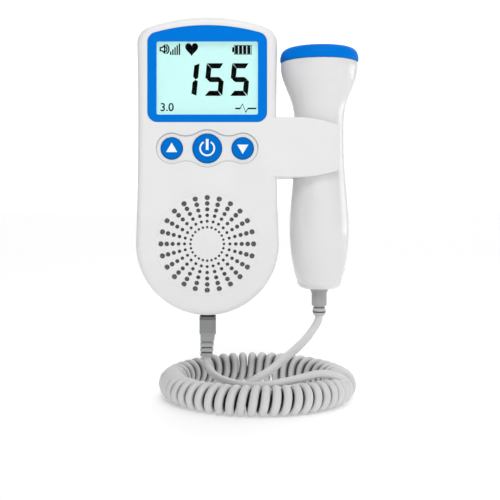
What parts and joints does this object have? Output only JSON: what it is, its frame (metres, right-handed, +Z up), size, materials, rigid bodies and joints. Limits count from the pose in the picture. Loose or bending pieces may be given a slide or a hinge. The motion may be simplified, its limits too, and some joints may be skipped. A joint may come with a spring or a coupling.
{
  "type": "fetal doppler monitor",
  "caption": "Handheld fetal doppler: rounded white case with blue-framed screen, keys and speaker grille, a probe held in a side clip, and a curly cord from its lower end.",
  "frame": {"origin": "on the flat back of the case, just above the centre of its round lower end", "axes": "+X towards the probe, +Y out of the case's back, +Z up towards the screen"},
  "size_m": [0.0993, 0.0886, 0.1688],
  "materials": {
    "case_white": "satin",
    "screen_blue": "gloss",
    "screen_clear": "gloss",
    "lcd_mint": "satin",
    "light_guide": "satin",
    "board_green": "satin",
    "part_black": "matte",
    "cloth_black": "matte",
    "speaker_steel": "satin",
    "cone_black": "matte",
    "magnet_dark": "matte",
    "cell_silver": "satin",
    "contact_steel": "satin",
    "screw_steel": "satin",
    "key_blue": "gloss",
    "probe_white": "gloss",
    "cap_blue": "satin",
    "crystal_grey": "matte",
    "gland_grey": "matte",
    "collar_grey": "satin",
    "plug_grey": "matte",
    "cord_grey": "satin"
  },
  "bodies": {
    "up_key": {"up_button": "key_blue", "up_plunger": "part_black"},
    "power_key": {"power_button": "key_blue", "power_plunger": "part_black"},
    "down_key": {"down_button": "key_blue", "down_plunger": "part_black"},
    "case": {"front_shell": "case_white", "rear_shell": "case_white", "speaker_grille": "case_white", "dust_cloth": "cloth_black", "speaker_basket": "speaker_steel", "speaker_cone": "cone_black", "speaker_magnet": "magnet_dark", "screen_bezel": "screen_blue", "screen_lens": "screen_clear", "lcd_panel": "lcd_mint", "backlight": "light_guide", "main_board": "board_green", "board_parts": "part_black", "tact_switches": "part_black", "battery_left": "cell_silver", "battery_right": "cell_silver", "battery_contacts": "contact_steel", "case_screws": "screw_steel", "headphone_socket": "part_black", "cord_socket": "part_black", "plug_collar": "collar_grey", "plug_nose": "part_black", "cord_plug": "plug_grey", "cord_lead": "cord_grey", "cord_coil": "cord_grey", "cord_tail": "cord_grey"},
    "door": {"battery_door": "case_white"},
    "probe": {"probe_front_half": "probe_white", "probe_rear_half": "probe_white", "probe_cap": "cap_blue", "transducer_crystals": "crystal_grey", "crystal_backing": "part_black", "probe_board": "board_green", "board_holder": "part_black", "probe_gland": "gland_grey"}
  },
  "joints": [
    {"name": "up_press", "type": "slide", "parent": "case", "child": "up_key", "axis": [0, 1, 0], "range_m": [0, 0.0006], "stiffness_N_per_m": 500},
    {"name": "power_press", "type": "slide", "parent": "case", "child": "power_key", "axis": [0, 1, 0], "range_m": [0, 0.0006], "stiffness_N_per_m": 500},
    {"name": "down_press", "type": "slide", "parent": "case", "child": "down_key", "axis": [0, 1, 0], "range_m": [0, 0.0006], "stiffness_N_per_m": 500},
    {"name": "door_hinge", "type": "hinge", "parent": "case", "child": "door", "pos_m": [0, -0.0012, 0.091], "axis": [1, 0, 0], "range_deg": [0, 90]},
    {"name": "probe_release", "type": "slide", "parent": "case", "child": "probe", "axis": [1, 0, 0], "range_m": [0, 0.026]}
  ]
}
